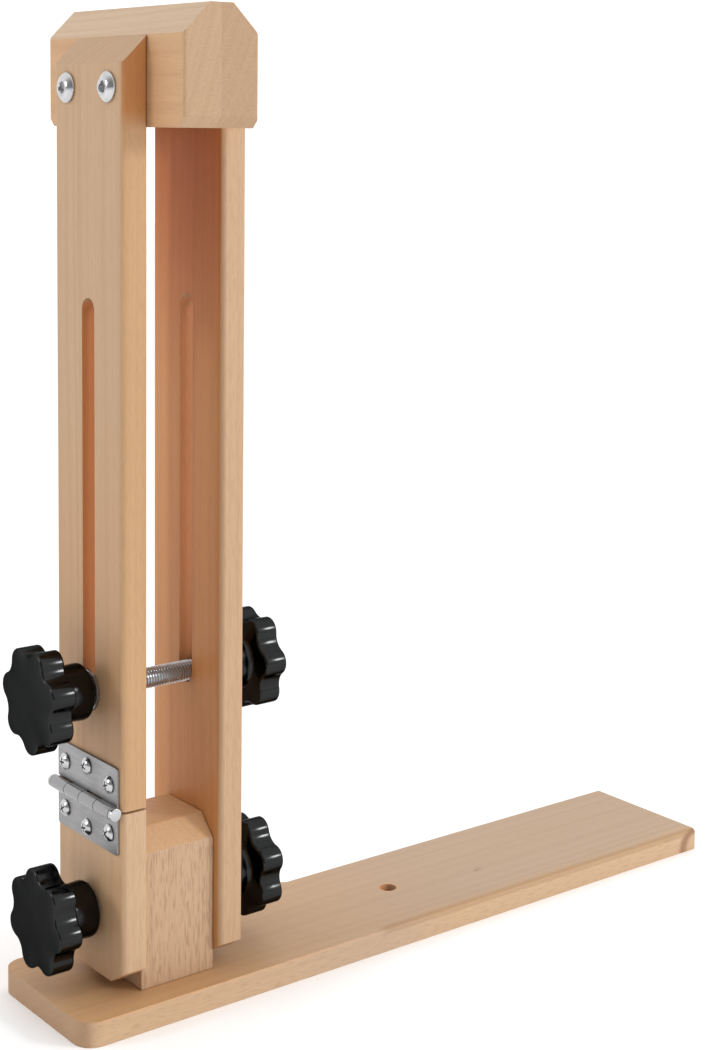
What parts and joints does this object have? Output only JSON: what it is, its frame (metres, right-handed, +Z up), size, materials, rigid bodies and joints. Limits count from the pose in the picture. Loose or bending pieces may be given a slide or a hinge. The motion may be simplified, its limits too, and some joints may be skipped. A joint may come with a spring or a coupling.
{
  "type": "leather stitching clamp",
  "caption": "Beech leather stitching clamp: hinged and fixed slotted boards with bevelled jaws, swivel post, seat board, threaded rods and black star knobs.",
  "frame": {"origin": "middle of the whole clamp's bounding box, on the underside of the seat board", "axes": "+Z up along the clamp's height; +X along the seat board from the post to its free end; +Y across the boards, so that the hinged board opens towards -X"},
  "size_m": [0.41, 0.118, 0.467],
  "materials": {
    "beech": "satin",
    "beech_jaw": "satin",
    "beech_base": "satin",
    "black_plastic": "glossy",
    "zinc_rod": "satin",
    "bright_steel": "polished",
    "hinge_steel": "satin",
    "insert_brass": "satin"
  },
  "bodies": {
    "base": {"base_board": "beech_base"},
    "post": {"post_block": "beech", "post_insert": "insert_brass", "post_bolt": "bright_steel", "post_washer": "bright_steel"},
    "vise": {"fixed_jaw_board": "beech", "fixed_jaw_block": "beech_jaw", "fixed_jaw_bolts": "bright_steel", "fixed_jaw_inserts": "insert_brass", "hinge_foot_board": "beech", "hinge_leaf_lower": "hinge_steel", "hinge_pin": "hinge_steel", "hinge_screws_lower": "bright_steel", "pivot_rod": "zinc_rod"},
    "swing_jaw": {"swing_jaw_board": "beech", "swing_jaw_block": "beech_jaw", "swing_jaw_bolts": "bright_steel", "swing_jaw_inserts": "insert_brass", "hinge_leaf_upper": "hinge_steel", "hinge_screws_upper": "bright_steel"},
    "clamp_bar": {"clamp_rod": "zinc_rod"},
    "clamp_slide_left": {"clamp_washer_left": "bright_steel"},
    "clamp_turn_left": {"clamp_knob_left": "black_plastic", "clamp_knob_left_insert": "insert_brass"},
    "clamp_slide_right": {"clamp_washer_right": "bright_steel"},
    "clamp_turn_right": {"clamp_knob_right": "black_plastic", "clamp_knob_right_insert": "insert_brass"},
    "pivot_slide_left": {"pivot_washer_left": "bright_steel"},
    "pivot_turn_left": {"pivot_knob_left": "black_plastic", "pivot_knob_left_insert": "insert_brass"},
    "pivot_slide_right": {"pivot_washer_right": "bright_steel"},
    "pivot_turn_right": {"pivot_knob_right": "black_plastic", "pivot_knob_right_insert": "insert_brass"}
  },
  "joints": [
    {"name": "post_swivel", "type": "hinge", "parent": "base", "child": "post", "pos_m": [-0.1395, 0, 0.012], "axis": [0, 0, 1], "continuous": true},
    {"name": "vise_tilt", "type": "hinge", "parent": "post", "child": "vise", "pos_m": [-0.1395, 0, 0.0475], "axis": [1, 0, 0], "range_deg": [-30, 30]},
    {"name": "jaw_open", "type": "hinge", "parent": "vise", "child": "swing_jaw", "pos_m": [-0.17565, 0, 0.1015], "axis": [0, -1, 0], "range_deg": [0, 4]},
    {"name": "rod_height", "type": "slide", "parent": "vise", "child": "clamp_bar", "axis": [0, 0, 1], "range_m": [0, 0.176]},
    {"name": "clamp_slide_left", "type": "slide", "parent": "clamp_bar", "child": "clamp_slide_left", "axis": [-1, 0, 0], "range_m": [0, 0.017]},
    {"name": "clamp_knob_turn_left", "type": "hinge", "parent": "clamp_slide_left", "child": "clamp_turn_left", "pos_m": [-0.177, 0, 0.1525], "axis": [-1, 0, 0], "continuous": true},
    {"name": "clamp_slide_right", "type": "slide", "parent": "clamp_bar", "child": "clamp_slide_right", "axis": [1, 0, 0], "range_m": [0, 0.003]},
    {"name": "clamp_knob_turn_right", "type": "hinge", "parent": "clamp_slide_right", "child": "clamp_turn_right", "pos_m": [-0.1045, 0, 0.1525], "axis": [1, 0, 0], "range_deg": [0, 720]},
    {"name": "pivot_slide_left", "type": "slide", "parent": "vise", "child": "pivot_slide_left", "axis": [-1, 0, 0], "range_m": [0, 0.003]},
    {"name": "pivot_knob_turn_left", "type": "hinge", "parent": "pivot_slide_left", "child": "pivot_turn_left", "pos_m": [-0.1745, 0, 0.0475], "axis": [-1, 0, 0], "range_deg": [0, 720]},
    {"name": "pivot_slide_right", "type": "slide", "parent": "vise", "child": "pivot_slide_right", "axis": [1, 0, 0], "range_m": [0, 0.003]},
    {"name": "pivot_knob_turn_right", "type": "hinge", "parent": "pivot_slide_right", "child": "pivot_turn_right", "pos_m": [-0.1045, 0, 0.0475], "axis": [1, 0, 0], "range_deg": [0, 720]}
  ],
  "couplings": [
    {"joint": "clamp_slide_left", "follows": "jaw_open", "m_per_rad": 0.2435},
    {"joint": "clamp_knob_turn_right", "follows": "clamp_slide_right", "rad_per_m": 4188.8},
    {"joint": "pivot_knob_turn_left", "follows": "pivot_slide_left", "rad_per_m": 4188.8},
    {"joint": "pivot_knob_turn_right", "follows": "pivot_slide_right", "rad_per_m": 4188.8}
  ]
}
